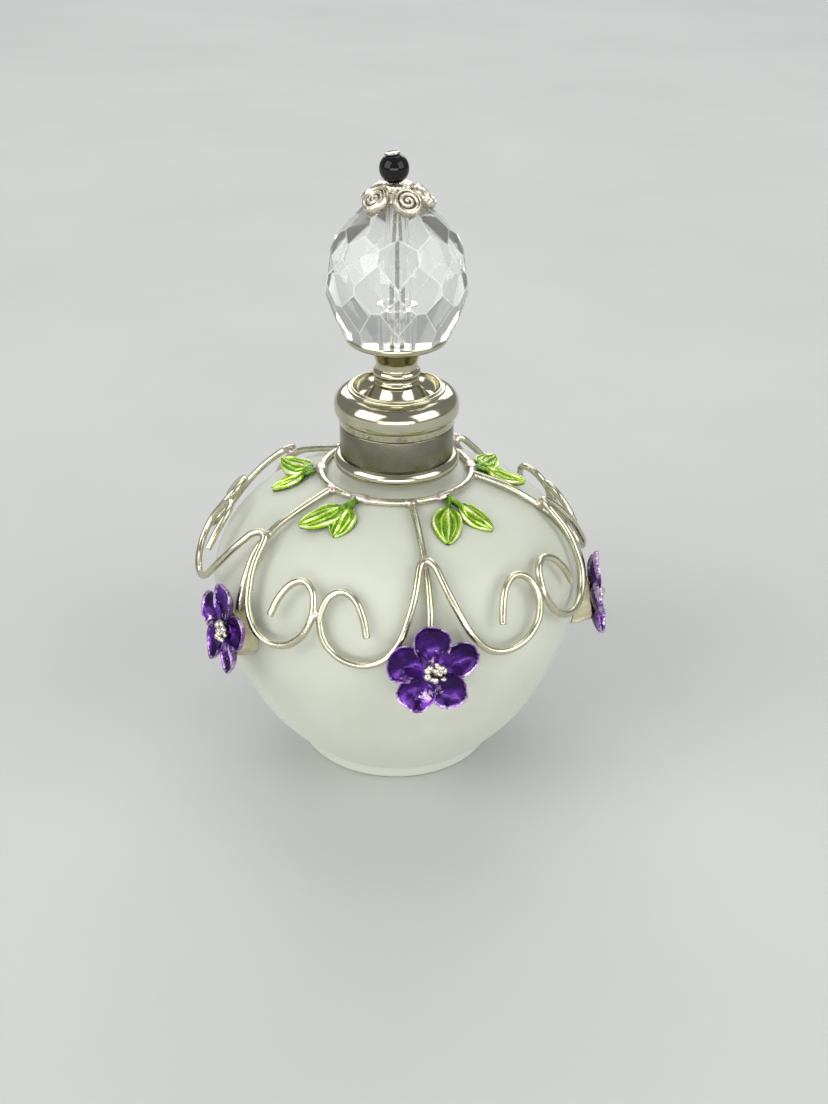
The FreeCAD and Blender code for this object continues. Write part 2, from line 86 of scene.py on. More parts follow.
# each petal's angle, half width, half length, lift and twist, top petal first
PETAL_LAYOUT = [(90, 2.75, 3.2, 0.5, -2), (18, 2.7, 3.1, 0.15, -1), (-54, 2.9, 3.05, 0.3, 10),
                (-126, 2.85, 3.05, 0.22, 9), (162, 2.75, 3.15, 0.3, 9)]
# how far each flower is turned about its own middle
FLOWER_SWING = [0.0, 3.0, -4.0, 5.0, 0.0]
# where each petal gets a painted highlight, a patch in the lilac rim colour: along it, across it
# and how much
PETAL_PAINTED_HIGHLIGHT = [(-0.7, 0.0, 0.55), (-0.5, 0.7, 0.6), (-0.35, -0.55, 0.9), (-0.05, 0.55, 1.0),
              (-0.1, 0.8, 0.8)]

# ---- leaves ----
LEAF_T = 0.75
LEAF_RIDGE = 0.42
LEAF_SUNK = 0.55
# how far out and how high the line that a pair lies along ends
LEAF_FAR = (20.12, 46.2)
# how far across a leaf the rim lies, from 0 in its middle to 1 at its edge
LEAF_RIM = 0.88
# how thick and how strong the midrib, the two side ribs and the two rims are
LEAF_RIBS_THICK = (0.12, 0.08, 0.08, 0.13, 0.13)
LEAF_RIBS_STRONG = (1.0, 0.65, 0.65, 1.0, 1.0)
# each pair's azimuth and mean turn, and the spread within a pair
LEAF_PAIRS = [(38.5, -13.0), (96.0, 24.0), (176.0, -8.0), (-89.0, -18.0), (-25.0, -19.0)]
LEAF_SPREAD = 49.0
# each leaf's stem, blade, width, turn beside its own and curl, first the leaf on the viewer's left
LEAF_SHAPES = [[(2.5, 6.7, 4.9, -1.0, -0.5), (2.2, 6.3, 4.0, 6.0, -0.5)],
               [(1.6, 6.8, 4.8, 0.0, 0.2), (1.5, 5.4, 4.2, 4.0, 0.3)],
               [(1.6, 7.4, 4.5, 0.0, -0.5), (1.5, 5.9, 4.4, 0.0, -0.6)],
               [(1.5, 6.6, 4.6, 2.0, 0.8), (1.8, 6.0, 4.0, -6.0, -0.3)],
               [(2.4, 7.1, 4.3, 7.0, 0.0), (1.9, 5.3, 4.4, -9.0, -0.4)]]
# how far each pair is moved along the ring
LEAF_SHIFT = [-0.2, 0.0, 0.0, 0.0, 0.8]

# ---- bead cap ----
SCROLL_PETALS = 5
SCROLL_PETAL_R = 2.15
SCROLL_PETAL_RING = 3.6
SCROLL_PETAL_Z = 92.0
SCROLL_PETAL_AZIMUTH = 22.5
SCROLL_PETAL_ELEVATION = 46.0
SCROLL_PITCH = 0.8
COLLAR_BEADS = 11
# the bead cap's rings: radius, height, how beaded, how bright
CAP_DOME = [(3.5, 92.0, 0, 0.3), (3.45, 92.5, 0, 0.5), (3.0, 93.0, 0, 0.6), (2.5, 93.25, 0, 0.5),
            (2.2, 93.4, 0.3, 0.3), (2.14, 93.6, 1, 0.5), (2.22, 93.9, 1, 1.0),
            (2.2, 94.2, 1, 1.0), (2.0, 94.38, 1, 1.0), (1.6, 94.4, 0, 0.6), (1.2, 94.2, 0, 0.3)]

# ---- the collar's polished flange: its colour, and its top in metres ----
POLISHED = (0.54, 0.525, 0.40)
FLANGE_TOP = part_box("neck_collar")[0][2] + 0.0022

# ---- the floor and the camera, in metres and degrees ----
FLOOR_R = 4.0
CAMERA_PLACE = (0.0029, -0.2027, 0.1434)
CAMERA_PITCH = 28.36
CAMERA_ROLL = -0.50
CAMERA_LENS = 45.65


# ---- geometry helpers ----
def polar(radius, azimuth, height):
    """A point at a distance from the bottle's axis, at an azimuth in degrees from the front."""
    a = math.radians(azimuth)
    return np.array([radius * math.sin(a), -radius * math.cos(a), height])


def unit(vector):
    return vector / np.linalg.norm(vector)


def read_points(mesh, what="co"):
    """One vector for each vertex of a mesh."""
    flat = np.empty(len(mesh.vertices) * 3)
    mesh.vertices.foreach_get(what, flat)
    return flat.reshape(-1, 3)


def mesh_points(mesh):
    """A mesh's vertices, in millimetres."""
    return read_points(mesh) / MM


def points_of(node):
    """A CAD node's vertices, in millimetres."""
    return mesh_points(NODES[node].data)


def push_out(mesh, points, by):
    """Moves a mesh's vertices from points along their normals, all in millimetres."""
    moved = points + by[:, None] * read_points(mesh, "normal")
    mesh.vertices.foreach_set("co", (moved * MM).astype(np.float32).ravel())
    mesh.update()


def set_paint(mesh, values):
    mesh.attributes.new("paint", "FLOAT", "POINT")
    mesh.attributes["paint"].data.foreach_set("value", values)


def round_turn(n):
    """Angles once round a loop of n points."""
    return np.linspace(0, 2 * math.pi, n, endpoint=False)


def linked(obj):
    bpy.context.scene.collection.objects.link(obj)
    return obj


def ripple(points, size, seed):
    """Smooth unevenness from -1 to 1 over points, with bumps of about the given size."""
    rng = np.random.default_rng(seed)
    total = np.zeros(len(points))
    waves = 6
    for _ in range(waves):
        direction = unit(rng.normal(size=3))
        wave = 2 * math.pi / (size * rng.uniform(0.7, 1.5))
        total += np.sin(points @ direction * wave + rng.uniform(0, 2 * math.pi))
    return total / waves


def rotated(a, b, degrees):
    """Two coordinates turned in their plane."""
    t = math.radians(degrees)
    return a * math.cos(t) - b * math.sin(t), a * math.sin(t) + b * math.cos(t)


class Shell:
    """Closed surfaces gathered for one piece, with what is painted on their points."""

    def __init__(self):
        self.points = []
        self.faces = []
        self.paint = []
        self.count = 0

    def loft(self, rows, paint):
        """Adds a closed surface through rows of looped points, closed at each end by a fan."""
        rows = np.asarray(rows, float)
        n_rows, n = rows.shape[:2]
        start, last_row = self.count, self.count + (n_rows - 1) * n
        first, last = start + n_rows * n, start + n_rows * n + 1
        self.points += [rows.reshape(-1, 3), np.array([rows[0].mean(0), rows[-1].mean(0)])]
        self.paint += [np.asarray(paint, float).ravel(), np.array([paint[0][0], paint[-1][0]])]
        for a in range(start, last_row, n):
            for c in range(n):
                d = (c + 1) % n
                self.faces.append((a + c, a + d, a + n + d, a + n + c))
        for c in range(n):
            d = (c + 1) % n
            self.faces.append((first, start + d, start + c))
            self.faces.append((last, last_row + c, last_row + d))
        self.count += n_rows * n + 2

    def ball(self, middle, radii, seed, paint=0.0):
        """Adds an uneven ball."""
        turn = round_turn(28)
        rows = np.array([np.column_stack([np.cos(turn) * math.sin(down),
                                          np.sin(turn) * math.sin(down),
                                          np.full(len(turn), math.cos(down))])
                         for down in np.linspace(0, math.pi, 18)[1:-1]])
        swell = 1 + 0.07 * ripple(rows.reshape(-1, 3), 1.3, seed).reshape(rows.shape[:2])
        rows = rows * swell[..., None] * np.array(radii) + np.array(middle)
        self.loft(rows, np.full(rows.shape[:2], paint))

    def place(self, since, origin, axes):
        """Moves the surfaces added since a point to a frame of three axes."""
        for i in range(since, len(self.points)):
            self.points[i] = self.points[i] @ np.array(axes) + np.array(origin)

    def mesh(self, name):
        mesh = bpy.data.meshes.new(name)
        points = np.concatenate(self.points) * MM
        mesh.from_pydata(points.tolist(), [], self.faces)
        set_paint(mesh, np.concatenate(self.paint))
        work = bmesh.new()
        work.from_mesh(mesh)
        bmesh.ops.recalc_face_normals(work, faces=work.faces)
        work.to_mesh(mesh)
        work.free()
        return mesh


def piece(name, mesh, body, slot, *nodes):
    """A finished piece that rides on a body and stands for CAD nodes."""
    obj = linked(bpy.data.objects.new(name, mesh))
    mesh.materials.append(FINISH[slot])
    mesh.polygons.foreach_set("use_smooth", [True] * len(mesh.polygons))
    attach(obj, body)
    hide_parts(*nodes)


def with_modifiers(mesh, *modifiers):
    """The mesh after modifiers, each given as its kind and its settings."""
    helper = linked(bpy.data.objects.new("helper", mesh))
    for kind, settings in modifiers:
        modifier = helper.modifiers.new(kind, kind)
        for key, value in settings.items():
            setattr(modifier, key, value)
    graph = bpy.context.evaluated_depsgraph_get()
    made = bpy.data.meshes.new_from_object(helper.evaluated_get(graph))
    bpy.data.objects.remove(helper)
    return made


def fused(name, nodes, blobs, voxel, smoothing):
    """One skin round CAD nodes and solder blobs, with fillets where they meet."""
    work = bmesh.new()
    for node in nodes:
        work.from_mesh(NODES[node].data)
    bmesh.ops.remove_doubles(work, verts=work.verts, dist=1e-7)
    for middle, axes, radii in blobs:
        matrix = Matrix([list(a) for a in np.array(axes).T * (np.array(radii) * MM)]).to_4x4()
        matrix.translation = Vector(np.array(middle) * MM)
        bmesh.ops.create_icosphere(work, subdivisions=3, radius=1, matrix=matrix)
    mesh = bpy.data.meshes.new(name)
    work.to_mesh(mesh)
    work.free()
    return with_modifiers(mesh, ("REMESH", dict(mode="VOXEL", voxel_size=voxel * MM)),
                          ("SMOOTH", dict(factor=0.5, iterations=smoothing)))


def contact(a, b):
    """Where one CAD node comes closest to another."""
    first, second = points_of(a), points_of(b)
    tree = KDTree(len(second))
    for i, point in enumerate(second):
        tree.insert(point, i)
    tree.balance()
    gaps = np.array([tree.find(point)[2] for point in first])
    return first[gaps < gaps.min() + CONTACT_REACH].mean(0)


def surface_axes(point):
    """Axes round the bottle, outward and up at a point."""
    radial = unit(np.array([point[0], point[1], 0]))
    around = np.array([-radial[1], radial[0], 0])
    return around, radial, np.array([0, 0, 1])


# ---- materials ----
class Look:
    """A material made of nodes, whose pattern is sized in millimetres and stays with its piece."""

    def __init__(self, name, sockets):
        self.material = bpy.data.materials.new(name)
        self.material.use_nodes = True
        self.nodes = self.material.node_tree.nodes
        self.links = self.material.node_tree.links
        self.nodes.clear()
        output = self.nodes.new("ShaderNodeOutputMaterial")
        self.shader = self.nodes.new("ShaderNodeBsdfPrincipled")
        self.links.new(self.shader.outputs[0], output.inputs["Surface"])
        for socket, value in sockets.items():
            self.shader.inputs[socket].default_value = value
        self.place = self.nodes.new("ShaderNodeTexCoord").outputs["Object"]

    def feed(self, node, socket, value):
        """Gives a node's socket another node's output, a colour or a number."""
        if isinstance(value, bpy.types.NodeSocket):
            self.links.new(value, node.inputs[socket])
        elif isinstance(value, tuple) and len(value) == 3:
            node.inputs[socket].default_value = value + (1.0,)
        else:
            node.inputs[socket].default_value = value

    def noise(self, size, detail=3.0, stretch=(1, 1, 1), distortion=0.0):
        """Uneven values with features of about a size, stretched along axes where asked."""
        mapping = self.nodes.new("ShaderNodeMapping")
        self.links.new(self.place, mapping.inputs["Vector"])
        mapping.inputs["Scale"].default_value = [1 / (MM * size * s) for s in stretch]
        noise = self.nodes.new("ShaderNodeTexNoise")
        self.links.new(mapping.outputs[0], noise.inputs["Vector"])
        noise.inputs["Scale"].default_value = 1.0
        noise.inputs["Detail"].default_value = detail
        noise.inputs["Distortion"].default_value = distortion
        return noise.outputs["Fac"]

    def height(self):
        """How high a point is above the floor, in metres."""
        parts = self.nodes.new("ShaderNodeSeparateXYZ")
        self.links.new(self.place, parts.inputs[0])
        return parts.outputs["Z"]

    def paint(self):
        """What is painted on the piece's points."""
        attribute = self.nodes.new("ShaderNodeAttribute")
        attribute.attribute_name = "paint"
        return attribute.outputs["Fac"]

    def fit(self, value, start, end, low=0.0, high=1.0):
        """The value moved from one range to another, and kept within it."""
        node = self.nodes.new("ShaderNodeMapRange")
        for socket, number in zip(range(5), (value, start, end, low, high)):
            self.feed(node, socket, number)
        return node.outputs[0]

    def maths(self, operation, a, b):
        node = self.nodes.new("ShaderNodeMath")
        node.operation = operation
        self.feed(node, 0, a)
        self.feed(node, 1, b)
        return node.outputs[0]

    def sum(self, a, b):
        return self.maths("ADD", a, b)

    def ramp(self, value, *stops):
        """Colours along a value, each stop being a position and a colour."""
        node = self.nodes.new("ShaderNodeValToRGB")
        self.feed(node, 0, value)
        elements = node.color_ramp.elements
        while len(elements) < len(stops):
            elements.new(0.5)
        for element, (position, colour) in zip(elements, stops):
            element.position = position
            element.color = colour + (1.0,)
        return node.outputs[0]

    def blend(self, amount, a, b):
        node = self.nodes.new("ShaderNodeMixRGB")
        for socket, value in zip(("Fac", "Color1", "Color2"), (amount, a, b)):
            self.feed(node, socket, value)
        return node.outputs[0]

    def set(self, socket, value):
        self.feed(self.shader, socket, value)

    def bump(self, *layers):
        """Relief in the shading, each layer being a height and its depth in millimetres."""
        normal = None
        for height, depth in layers:
            node = self.nodes.new("ShaderNodeBump")
            node.inputs["Distance"].default_value = depth * MM
            self.feed(node, "Height", height)
            if normal:
                self.links.new(normal, node.inputs["Normal"])
            normal = node.outputs[0]
        self.links.new(normal, self.shader.inputs["Normal"])


def frosted_glass():
    look = Look("frosted_glass", {"Roughness": 0.5, "IOR": 1.5, "Transmission Weight": 0.35,
                                  "Subsurface Weight": 0.35, "Subsurface Scale": 0.004,
                                  "Subsurface Radius": (1.0, 1.0, 1.0), "Sheen Weight": 0.25,
                                  "Sheen Roughness": 0.4})
    cloud = look.noise(9.0, 4.0)
    foot = look.fit(look.height(), 0.0, 0.012)
    body = look.blend(look.fit(cloud, 0.3, 0.7), (0.73, 0.765, 0.665),
                      (0.79, 0.815, 0.725))
    look.set("Base Color", look.blend(foot, (0.84, 0.875, 0.785), body))
    look.set("Roughness", look.fit(look.noise(0.6, 5.0), 0.3, 0.7, 0.42, 0.56))
    look.bump((look.noise(0.05, 2.0), 0.004), (look.noise(0.7, 4.0), 0.004))
    return look.material


def nickel(name, light, dark, rough, scratch, polished_below=0.0):
    """Plated nickel with lathe marks, hazy patches and fine random scratches.

    What lies below a height in metres is polished instead, where one is given.
    """
    look = Look(name, {"Metallic": 1.0})
    step = 0.2 * MM
    dull = look.fit(look.height(), polished_below - step, polished_below + step)
    haze = look.noise(3.5, 4.0)
    rings = look.noise(0.5, 3.0, (40, 40, 0.25))
    strokes = look.noise(0.3, 2.0, (9, 9, 0.3), 1.5)
    look.set("Base Color", look.blend(dull, POLISHED,
                                      look.blend(look.fit(haze, 0.35, 0.7), light, dark)))
    lustre = look.sum(look.fit(haze, 0.3, 0.75, rough * 0.75, rough * 1.3),
                    look.fit(strokes, 0.62, 0.75, 0.0, scratch * 0.25))
    look.set("Roughness", look.maths("MULTIPLY", lustre, look.fit(dull, 0.0, 1.0, 0.4, 1.0)))
    look.bump((rings, 0.006 * scratch), (strokes, 0.008 * scratch))
    return look.material


def wire_silver():
    look = Look("silver_wire", {"Metallic": 1.0})
    tarnish = look.fit(look.noise(2.2, 5.0), 0.42, 0.68)
    wire = look.blend(tarnish, (0.65, 0.63, 0.48), (0.54, 0.52, 0.38))
    solder = look.blend(look.fit(look.noise(0.8, 4.0), 0.4, 0.7), (0.72, 0.66, 0.61),
                        (0.42, 0.35, 0.32))
    look.set("Base Color", look.blend(look.paint(), wire, solder))
    look.set("Roughness", look.sum(look.fit(look.noise(0.9, 3.0), 0.3, 0.7, 0.19, 0.30),
                                   look.fit(look.paint(), 0.0, 1.0, 0.0, 0.12)))
    look.bump((look.noise(0.25, 3.0), 0.004), (look.noise(1.4, 3.0), 0.01))
    return look.material


def antique_silver(name, light, dark):
    """Cast silver, bright on what stands proud and dark in what lies deep."""
    look = Look(name, {"Metallic": 1.0})
    speck = look.noise(0.35, 5.0)
    proud = look.sum(look.paint(), look.fit(speck, 0.3, 0.7, -0.3, 0.3))
    look.set("Base Color", look.ramp(proud, (0.15, dark), (0.5, light), (1.0, light)))
    look.set("Roughness", look.fit(proud, 0.0, 1.0, 0.55, 0.24))
    look.bump((speck, 0.03), (look.noise(0.9, 3.0), 0.05))
    return look.material


def purple_enamel():
    look = Look("purple_enamel", {"Metallic": 0.8, "Coat Weight": 0.25, "Coat Roughness": 0.15,
                                  "Coat IOR": 1.4})
    pool = look.noise(3.0, 2.5, distortion=0.4)
    enamel = look.ramp(pool, (0.3, (0.012, 0.002, 0.04)), (0.5, (0.04, 0.005, 0.125)),
                       (0.64, (0.10, 0.018, 0.28)), (0.8, (0.26, 0.09, 0.54)))
    # paint and noise mark the bare metal rims, chipped at random, and the patches of painted
    # highlight; both take the lilac rim colour below
    bare_rim_and_painted_highlight = look.sum(look.paint(), look.fit(look.noise(0.5, 5.0), 0.25, 0.75, -0.6, 0.45))
    edge = look.blend(look.fit(look.noise(1.5, 2.0), 0.4, 0.6), (0.64, 0.47, 0.77),
                      (0.24, 0.10, 0.40))
    look.set("Base Color", look.blend(look.fit(bare_rim_and_painted_highlight, 0.45, 0.7), enamel, edge))
    look.set("Roughness", look.fit(look.noise(0.6, 4.0), 0.3, 0.7, 0.18, 0.38))
    look.bump((look.noise(0.4, 3.0), 0.025), (look.noise(1.8, 2.0), 0.16))
    return look.material


def green_enamel():
    look = Look("green_enamel", {"Metallic": 0.6, "Coat Weight": 0.35, "Coat Roughness": 0.12,
                                 "Coat IOR": 1.4})
    # low paint is the painted shade on leaf undersides and edge walls, the darkest green; high
    # paint is the pale-gold ribs and rims
    proud = look.sum(look.paint(), look.fit(look.noise(1.1, 4.0), 0.3, 0.7, -0.1, 0.1))
    look.set("Base Color", look.ramp(proud, (0.08, (0.02, 0.07, 0.004)),
                                     (0.3, (0.19, 0.40, 0.012)), (0.58, (0.49, 0.70, 0.06)),
                                     (0.85, (0.90, 0.95, 0.60))))
    look.set("Roughness", look.fit(look.noise(0.4, 4.0), 0.3, 0.7, 0.18, 0.36))
    look.bump((look.noise(0.3, 4.0), 0.03), (look.noise(1.2, 2.0), 0.06))
    return look.material


def glue():
    look = Look("glue", {"IOR": 1.47, "Transmission Weight": 0.55, "Subsurface Weight": 0.3,
                         "Subsurface Scale": 0.002, "Subsurface Radius": (1.0, 0.8, 0.5)})
    cloud = look.noise(1.8, 4.0)
    look.set("Base Color", look.blend(look.fit(cloud, 0.3, 0.7), (0.80, 0.72, 0.43),
                                      (0.90, 0.85, 0.62)))
    look.set("Roughness", look.fit(look.noise(0.9, 3.0), 0.3, 0.7, 0.12, 0.3))
    look.bump((look.noise(0.7, 3.0), 0.05),)
    return look.material


def clear(name, tint, ior, smear, see_through=1.0):
    """A clear moulded piece with faint smears and moulding ripples."""
    look = Look(name, {"IOR": ior, "Transmission Weight": see_through})
    mottle = look.noise(5.0, 3.0)
    look.set("Base Color", look.blend(look.fit(mottle, 0.3, 0.7), tint, (1.0, 1.0, 1.0)))
    look.set("Roughness", look.fit(look.noise(1.6, 5.0), 0.45, 0.75, 0.0, smear))
    look.bump((look.noise(2.5, 2.0), 0.004),)
    return look.material


def dark_gloss(name, colour, spread, rough, metallic=0.0):
    """A dark piece with a polish that varies slightly over it."""
    look = Look(name, {"Metallic": metallic, "IOR": 1.45, "Specular IOR Level": 0.3})
    haze = look.noise(1.2, 4.0)
    look.set("Base Color", look.blend(look.fit(haze, 0.3, 0.7), colour, spread))
    look.set("Roughness", look.fit(look.noise(0.4, 4.0), 0.3, 0.7, rough * 0.6, rough * 1.5))
    look.bump((look.noise(0.5, 3.0), 0.006),)
    return look.material


def moulded(name, colour, spread, rough):
    """A moulded plastic or rubber with a fine matt grain."""
    look = Look(name, {"Subsurface Weight": 0.1, "Subsurface Scale": 0.001})
    look.set("Base Color", look.blend(look.fit(look.noise(2.0, 4.0), 0.3, 0.7), colour, spread))
    look.set("Roughness", look.fit(look.noise(0.3, 3.0), 0.3, 0.7, rough * 0.8, rough * 1.2))
    look.bump((look.noise(0.12, 3.0), 0.01), (look.noise(1.0, 3.0), 0.01))
    return look.material


def pale_floor():
    look = Look("pale_floor", {})
    look.set("Base Color", look.blend(look.fit(look.noise(160.0, 4.0), 0.3, 0.7),
                                      (0.49, 0.50, 0.50), (0.53, 0.54, 0.54)))
    look.set("Roughness", look.fit(look.noise(30.0, 4.0), 0.3, 0.7, 0.66, 0.72))
    return look.material


FINISH = {
    "frosted_glass": frosted_glass(),
    # the collar's nickel is given a far darker colour than the cap's, a painted dark reflection
    "nickel_collar": nickel("nickel_collar", (0.23, 0.225, 0.17), (0.17, 0.167, 0.122), 0.26, 1.0,
                            FLANGE_TOP),
    "polished_nickel": nickel("polished_nickel", (0.57, 0.55, 0.415), (0.47, 0.45, 0.33), 0.12,
                              0.5),
    "silver_wire": wire_silver(),
    "antique_silver": antique_silver("antique_silver", (0.76, 0.71, 0.59), (0.09, 0.06, 0.045)),
    "bright_silver": antique_silver("bright_silver", (0.66, 0.62, 0.56), (0.06, 0.04, 0.028)),
    "purple_enamel": purple_enamel(),
    "green_enamel": green_enamel(),
    "glue": glue(),
    "crystal": clear("crystal", (0.97, 0.985, 0.965), 1.45, 0.04, 0.93),
    # the crystal's bevelled edges: whiter and less clear than its facets, a painted highlight
    # along each edge
    "crystal_edge": clear("crystal_edge", (0.95, 0.97, 0.92), 1.45, 0.4, 0.7),
    "clear_glass": clear("clear_glass", (0.94, 0.97, 0.95), 1.5, 0.06),
    "black_glass": dark_gloss("black_glass", (0.004, 0.004, 0.005), (0.010, 0.009, 0.010), 0.06),
    "dark_pin": dark_gloss("dark_pin", (0.26, 0.25, 0.23), (0.42, 0.40, 0.37), 0.22, 1.0),
    "soft_plastic": moulded("soft_plastic", (0.74, 0.76, 0.74), (0.80, 0.82, 0.80), 0.45),
    "seal_rubber": moulded("seal_rubber", (0.70, 0.70, 0.66), (0.78, 0.78, 0.74), 0.6),
}
BODY = {node: body for body, nodes in frame["record"]["behaviour"]["bodies"].items()
        for node in nodes}
SLOT = {part["node"]: part["material_slot"] for part in frame["record"]["subparts"]}


# ---- turned and moulded parts ----
def refined(node, bevel, limit, edge_slot):
    """A copy of a CAD node's mesh with its crisp edges eased, in a material slot of their own."""
    work = bmesh.new()
    work.from_mesh(NODES[node].data)
    bmesh.ops.remove_doubles(work, verts=work.verts, dist=1e-7)
    bmesh.ops.dissolve_limit(work, angle_limit=math.radians(0.2), verts=work.verts,
                             edges=work.edges)
    crisp = [e for e in work.edges if e.calc_face_angle(0.0) > math.radians(limit)]
    made = bmesh.ops.bevel(work, geom=crisp, offset=bevel * MM, segments=2, profile=0.5,
                           affect="EDGES", clamp_overlap=True)
    for face in made["faces"]:
        face.material_index = edge_slot
    bmesh.ops.recalc_face_normals(work, faces=work.faces)
    mesh = bpy.data.meshes.new(node)
    work.to_mesh(mesh)
    work.free()
    return mesh


def turned(node, bevel, limit=25.0, flat_over=30.0, edge_highlight=None):
    """A finished copy of a CAD node, smooth but for what still turns sharply."""
    # bevel faces can take a second finish; the crystal's is a whiter, less clear one that paints a
    # highlight along its edges
    mesh = refined(node, bevel, limit, 1 if edge_highlight else 0)
    piece(node + "_piece", mesh, BODY[node], SLOT[node], node)
    if edge_highlight:
        mesh.materials.append(FINISH[edge_highlight])
    mesh.set_sharp_from_angle(angle=math.radians(flat_over))


# ---- wire cage ----
def wires(name, body, nodes, blobs):
    """A run of wires with their solder, which is lumpy and painted as such."""
    mesh = fused(name, nodes, blobs, WIRE_VOXEL, 5)
    points = mesh_points(mesh)
    solder = np.zeros(len(points))
    for middle, axes, radii in blobs:
        far = np.linalg.norm(((points - middle) @ np.array(axes).T) / radii, axis=1)
        solder = np.maximum(solder, np.clip(1.9 - far, 0, 1))
    push_out(mesh, points, SOLDER_LUMP * ripple(points, 1.4, 5) * solder
             + WIRE_WAVE * ripple(points, 4.0, 6))
    set_paint(mesh, solder)
    piece(name, mesh, body, "silver_wire", *nodes)


def cage():
    """The ring, and each spoke with its pair of scrolls."""
    ring_blobs = []
    for k in UNITS:
        joint = contact("spoke_wire_%d" % k, "cage_ring")
        ring_blobs.append((joint, surface_axes(joint), SPOKE_SOLDER))
        foot = contact("leaf_pair_%d" % k, "cage_ring")
        on_ring = unit(foot * (1, 1, 0)) * RING_R + (0, 0, RING_Z)
        ring_blobs.append((on_ring, surface_axes(on_ring), LEAF_SOLDER))
    wires("cage_ring_soldered", "bottle", ["cage_ring"], ring_blobs)
    for k in UNITS:
        spoke, scroll = "spoke_wire_%d" % k, "scroll_wire_%d" % k
        apex = contact(spoke, scroll)
        side = contact(scroll, "scroll_wire_%d" % (k % len(UNITS) + 1))
        blobs = [(apex, surface_axes(apex), APEX_SOLDER),
                 (side, surface_axes(side), SIDE_SOLDER)]
        wires("wire_unit_%d" % k, "bottle", [spoke, scroll], blobs)


# ---- flowers ----
def flower_frame(k):
    """A flower's middle, and its right, up and outward axes."""
    points, nuggets = points_of("flower_%d" % k), points_of("stamens_%d" % k)
    middle = points.mean(0)
    thinnest = np.linalg.eigh(np.cov((points - middle).T))[1][:, 0]
    outward = thinnest * np.sign(thinnest @ (middle * (1, 1, 0)))
    right = unit(np.cross((0, 0, 1), outward))
    up = np.cross(outward, right)
    base = (nuggets @ outward).min() - STAMEN_BASE
    hub = nuggets.mean(0)
    return hub + outward * (base - hub @ outward), np.array([right, up, outward])


def petal(shell, angle, width, length, lift, twist, lustre, seed):
    """One deeply cupped petal with a thick rolled rim and a patch of painted highlight."""
    rng = np.random.default_rng(seed)
    phases = rng.uniform(0, 2 * math.pi, 3)
    n = 56
    turn = round_turn(n)
    wave = (1 + 0.035 * np.sin(3 * turn + phases[0]) + 0.022 * np.sin(5 * turn + phases[1])
            + 0.012 * np.sin(9 * turn + phases[2]))
    along, across = np.cos(turn), np.sin(turn)
    squared = ((np.abs(along) ** PETAL_SQUARE + np.abs(across) ** PETAL_SQUARE)
               ** (-1 / PETAL_SQUARE))
    outline = np.stack([along * squared * length * wave, across * squared * width * wave], 1)
    inner = np.clip(-outline[:, 0] / length, 0, 1)
    outline[:, 1] *= 1 - 0.3 * inner ** 1.5
    rimmed = np.clip((0.75 - inner) / 0.5, 0, 1)
    rows, paint = [], []
    front = [(q, 0.0) for q in np.linspace(0.04, 0.84, 12)]
    for q, roll in front + PETAL_RIM:
        height = PETAL_CUP * q ** 2.1 + (0.15 * rimmed if roll > 0 else 0.22) * roll
        rows.append(np.column_stack([outline * q, np.ones(n) * height]))
        # paint marks the bare metal of the rolled rim, and a patch of painted highlight that takes
        # the rim colour
        far = (((outline[:, 0] * q / length - lustre[0]) / 0.5) ** 2
               + ((outline[:, 1] * q / width - lustre[1]) / 0.35) ** 2)
        paint.append(np.maximum(0.85 * rimmed * np.clip((q - 0.84) / 0.07, 0, 1),
                                0.95 * lustre[2] * np.exp(-far)))
    for q in (0.95, 0.88, 0.78, 0.62, 0.45, 0.25, 0.05):
        height = PETAL_CUP * q ** 2.1 - 0.42 - 0.1 * (1 - q)
        rows.append(np.column_stack([outline * q, np.full(n, height)]))
        paint.append(np.full(n, 0.9 if q > 0.85 else 0.35 * q))
    rows = np.array(rows)
    flat = rows.reshape(-1, 3)
    flat[:, 2] += 0.14 * ripple(flat, 2.6, seed + 50) - 0.015 * flat[:, 0] ** 2
    crease = np.exp(-(flat[:, 1] / 0.5) ** 2) * np.clip((flat[:, 0] + length) / length, 0, 1)
    flat[:, 2] += 0.06 * crease
    y, z = rotated(flat[:, 1], flat[:, 2], twist)
    x, z = rotated(PETAL_MIDDLE + flat[:, 0], z, PETAL_LEAN)
    x, y = rotated(x, y, angle)
    shell.loft(np.column_stack([x, y, z + lift]).reshape(rows.shape), np.array(paint))


def petals(k, rng, origin, axes):
    """Five overlapping petals round a hub."""
    shell = Shell()
    for p, (angle, width, length, lift, twist) in enumerate(PETAL_LAYOUT):
        petal(shell, angle + FLOWER_SWING[k - 1] + rng.uniform(-2, 2), width, length, lift,
              twist + rng.uniform(-2, 2), PETAL_PAINTED_HIGHLIGHT[p], 10 * k + p)
    shell.ball((0, 0, 0.55), (1.9, 1.9, 0.75), 60 + k, 0.1)
    shell.place(0, origin, axes)
    piece("flower_enamelled_%d" % k, shell.mesh("flower_%d" % k), "bottle", "purple_enamel",
          "flower_%d" % k)


